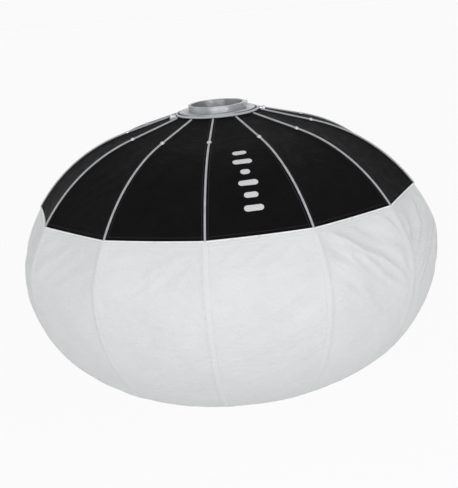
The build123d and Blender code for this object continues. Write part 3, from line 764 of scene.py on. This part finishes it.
LOOKS = {
    "bayonet_metal": (turned_metal, dict(
        dark=(0.30, 0.305, 0.32), light=(0.42, 0.425, 0.44), roughness=0.40, pitch=0.0006)),
    "clip_steel": (coated, dict(
        dark=(0.30, 0.30, 0.31), light=(0.42, 0.42, 0.43), roughness=0.35, grain=900, depth=0.00005,
        metallic=1.0)),
    "glide_plastic": (coated, dict(
        dark=(0.70, 0.70, 0.67), light=(0.80, 0.80, 0.77), roughness=0.5, grain=800, depth=0.00005)),
    "ring_paint": (coated, dict(
        dark=(0.012, 0.012, 0.013), light=(0.028, 0.028, 0.030), roughness=0.52, grain=1400, depth=0.0002)),
    "screw_steel": (turned_metal, dict(
        dark=(0.12, 0.12, 0.13), light=(0.22, 0.22, 0.23), roughness=0.35, pitch=0.0005)),
    "pin_steel": (turned_metal, dict(
        dark=(0.48, 0.48, 0.50), light=(0.62, 0.62, 0.64), roughness=0.25, pitch=0.0005)),
    "knob_metal": (turned_metal, dict(
        dark=(0.50, 0.51, 0.53), light=(0.68, 0.69, 0.71), roughness=0.3, pitch=0.0005)),
    "arm_paint": (coated, dict(
        dark=(0.014, 0.014, 0.015), light=(0.032, 0.032, 0.034), roughness=0.42, grain=900, depth=0.0001)),
    "rod_spring": (coated, dict(
        dark=(0.016, 0.016, 0.018), light=(0.04, 0.04, 0.044), roughness=0.3, grain=500, depth=0.00008)),
    "hub_plastic": (coated, dict(
        dark=(0.014, 0.014, 0.015), light=(0.03, 0.03, 0.032), roughness=0.5, grain=1000, depth=0.0001)),
    "cap_plastic": (coated, dict(
        dark=(0.62, 0.64, 0.63), light=(0.72, 0.735, 0.725), roughness=0.48, grain=1000, depth=0.0001)),
    "piping": (cord_cloth, dict(
        dark=(0.23, 0.24, 0.26), light=(0.44, 0.45, 0.47), pitch=0.0018)),
}
MATERIALS = {slot: maker(slot, **look) for slot, (maker, look) in LOOKS.items()}
WHITE_CORD = cord_cloth("white_cord", dark=(0.70, 0.72, 0.72), light=(0.86, 0.87, 0.87), pitch=0.0016)
BLACK_CLOTH = black_cloth()
WHITE_CLOTH = white_cloth()
LINING = silver_lining()
MARK = printed_mark()


# The CAD nodes' materials

def over_cloth(point):
    """Whether a point of an arm lies above the cloth, as only its stud does."""
    reach = hypot(point.x, point.y)
    kink = place(KINK_AT)
    return abs(reach - kink[0]) < STUD_REACH and point.z > kink[1] + (kink[0] - reach) * tan(ARM_HEADING)


def at_fitting(point):
    """Whether a point of a rod lies on its fork or tongue at the elbow, or on its eye at the hub."""
    at_hub = hypot(point.x, point.y) < EYE_REACH and point.z < ELBOW.z
    return abs(point.z - ELBOW.z) < FORK_REACH or at_hub


FITTINGS = {"arm_paint": over_cloth, "rod_spring": at_fitting}


def dress_frame():
    """Gives each CAD node its slot's material, and the arms' and rods' steel fittings theirs."""
    slots = {row["node"]: row["material_slot"] for row in frame["record"]["subparts"]}
    for name, node in frame["nodes"].items():
        slot = slots[name]
        if slot not in MATERIALS:
            continue
        node.data.materials.clear()
        node.data.materials.append(MATERIALS[slot])
        if slot in FITTINGS:
            node.data.materials.append(MATERIALS["pin_steel"])
            for face in node.data.polygons:
                face.material_index = 1 if FITTINGS[slot](face.center) else 0


# Sewing the lantern


def gather(piece):
    """Gives a piece its own copy of its mesh."""
    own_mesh(piece)


def hang(piece, half, rib):
    """Lets a sheet ride on its rib, with its own copy of its mesh."""
    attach(piece, f"{half}_{BODIES[rib]}")
    gather(piece)


def sew_sheets(rib, number):
    """One rib's share of the black top, its lining and the diffuser."""
    for name, start, end, half, keep in TOP_BANDS:
        top = cloth_sheet(f"{name}_{number}", rib, start, end, BLACK_CLOTH)
        hang(top, half, rib)
        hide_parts("top_cover")
        lining = cloth_sheet(f"lining_{name}_{number}", rib, start, end, LINING, -LINING_GAP, inside=True)
        hang(lining, half, rib)
    for name, start, end, half, keep in WHITE_BANDS:
        white = cloth_sheet(f"{name}_{number}", rib, start, end, WHITE_CLOTH)
        hang(white, half, rib)
        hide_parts("diffuser")


def sew_cords(rib, number):
    """One rib's piping, and its share of the white cord at the rim."""
    azimuth = RIB_ONE + RIB_STEP * rib
    distances = [RIM_AT * step / PIPING_STEPS for step in range(1, PIPING_STEPS + 1)]
    seam = [cloth_point(distance, azimuth, PIPING_LIFT) for distance in distances]
    piping = tube(f"piping_{number}", seam, PIPING_RADIUS, MATERIALS["piping"], PIPING_SIDES)
    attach(piping, f"upper_{number}")
    edge = [cloth_point(RIM_AT, azimuth + turn, RIM_CORD_LIFT) for turn in column_turns(LANTERN_RADIUS)]
    cord = tube(f"rim_cord_{number}", edge, RIM_CORD_RADIUS, WHITE_CORD, RIM_CORD_SIDES)
    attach(cord, f"upper_{number}")
    gather(cord)


def sew_patch():
    """The round patch under the hub, which covers the gores' ends and is clamped by the base cap."""
    reach = HUB_RADIUS + PATCH_OVERHANG
    profile = [(BASE_OPENING, 0), (CAP_RADIUS, 0), (PIVOT_RADIUS, PATCH_LIFT), (reach, PATCH_LIFT)]
    points, uvs = [], []
    for radius, lift in profile:
        distance = END_AT + BASE_OPENING - radius
        for column in range(PATCH_COLUMNS + 1):
            turn = 2 * pi * column / PATCH_COLUMNS
            points.append(Vector((radius * cos(turn), radius * sin(turn), place(distance)[1] - lift)))
            uvs.append((SEAM_WIDTH * 2 + radius * turn, distance))
    faces = grid_faces(len(profile) - 1, PATCH_COLUMNS, turned=True)
    patch = new_mesh("base_patch", points, faces, WHITE_CLOTH, uvs)
    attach(patch, "hub")
    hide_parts("diffuser")


def sew_lantern():
    """All the cloth and cord of the lantern."""
    for rib, number in enumerate(BODIES):
        sew_sheets(rib, number)
        sew_cords(rib, number)
    sew_patch()


def print_mark():
    """A plain stack of rounded bars on the gore right of rib one, in place of lettering."""
    for bar, width in enumerate(MARK_WIDTHS):
        centre = KINK_AT + MARK_FROM_KINK + bar * MARK_PITCH
        for rib, side in enumerate((-1, 1)):
            piece = printed_half(f"mark_bar_{bar + 1}_{BODIES[rib]}", centre, side, width / 2)
            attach(piece, f"upper_{BODIES[rib]}")
            gather(piece)


def printed_half(name, centre, side, reach):
    """Half of a bar with a rounded end, printed on the cloth from the middle of the gore outwards."""
    points = []
    for row in range(MARK_ROWS + 1):
        high = 2 * row / MARK_ROWS - 1
        distance = centre + MARK_HALF_BAR * high
        inset = MARK_HALF_BAR * (1 - sqrt(1 - END_ROUNDING * high**2))
        for column in range(MARK_COLUMNS + 1):
            turn = side * (reach - inset) * column / MARK_COLUMNS / place(distance)[0]
            points.append(cloth_point(distance, RIB_ONE + HALF_STEP + turn, PRINT_LIFT))
    return new_mesh(name, points, grid_faces(MARK_ROWS, MARK_COLUMNS, turned=side < 0), MARK)


# Stage, lights and camera

def lay_floor():
    """A wide pale floor, far below the hanging lantern."""
    material, _, shader = new_material("floor")
    shader.inputs["Base Color"].default_value = (0.92, 0.92, 0.92, 1)
    shader.inputs["Roughness"].default_value = 0.9
    shader.inputs["Emission Color"].default_value = (1, 1, 1, 1)
    shader.inputs["Emission Strength"].default_value = FLOOR_GLOW
    turns = [(-1, -1), (1, -1), (1, 1), (-1, 1)]
    corners = [(x * FLOOR_REACH, y * FLOOR_REACH, FLOOR_LEVEL) for x, y in turns]
    new_mesh("floor", corners, [(0, 1, 2, 3)], material)


def area_light(name, location, size, power):
    """A round soft light that faces the lantern's middle."""
    light = bpy.data.lights.new(name, "AREA")
    light.shape = "DISK"
    light.size = size
    light.energy = power
    lamp = bpy.data.objects.new(name, light)
    lamp.location = location
    aim = Vector((0, 0, WIDEST_Z)) - Vector(location)
    lamp.rotation_euler = aim.to_track_quat("-Z", "Y").to_euler()
    bpy.context.scene.collection.objects.link(lamp)


def light_studio():
    """Soft light all round, brightest from the front."""
    world = bpy.data.worlds.new("studio")
    world.use_nodes = True
    background = world.node_tree.nodes["Background"]
    background.inputs["Color"].default_value = (1, 1, 1, 1)
    background.inputs["Strength"].default_value = SKY_STRENGTH
    bpy.context.scene.world = world
    area_light("key", location=(0.75, -3.1, 0.35), size=1.0, power=56)
    area_light("fill", location=(-3.2, -0.8, 0.2), size=2.0, power=15)
    area_light("back", location=(0.4, 2.8, 1.5), size=1.6, power=8)


def place_camera():
    """The camera, a little above and right of rib one, aimed at the middle of the part."""
    level = cos(CAMERA_ELEVATION)
    toward = Vector((sin(CAMERA_AZIMUTH) * level, -cos(CAMERA_AZIMUTH) * level, sin(CAMERA_ELEVATION)))
    centre = Vector((0, 0, (cad_box[0].z + cad_box[1].z) / 2))
    camera = bpy.data.cameras.new("camera")
    camera.lens = CAMERA_LENS_MM
    camera.sensor_width = CAMERA_SENSOR_MM
    shot = bpy.data.objects.new("camera", camera)
    shot.location = centre + toward * CAMERA_DISTANCE
    shot.rotation_mode = "QUATERNION"
    aimed = (-toward).to_track_quat("-Z", "Y")
    shot.rotation_quaternion = aimed @ Quaternion((0, 0, 1), -CAMERA_ROLL)
    bpy.context.scene.collection.objects.link(shot)
    bpy.context.scene.camera = shot
    bpy.context.scene.view_settings.view_transform = "Standard"


dress_frame()
sew_lantern()
print_mark()
lay_floor()
light_studio()
place_camera()
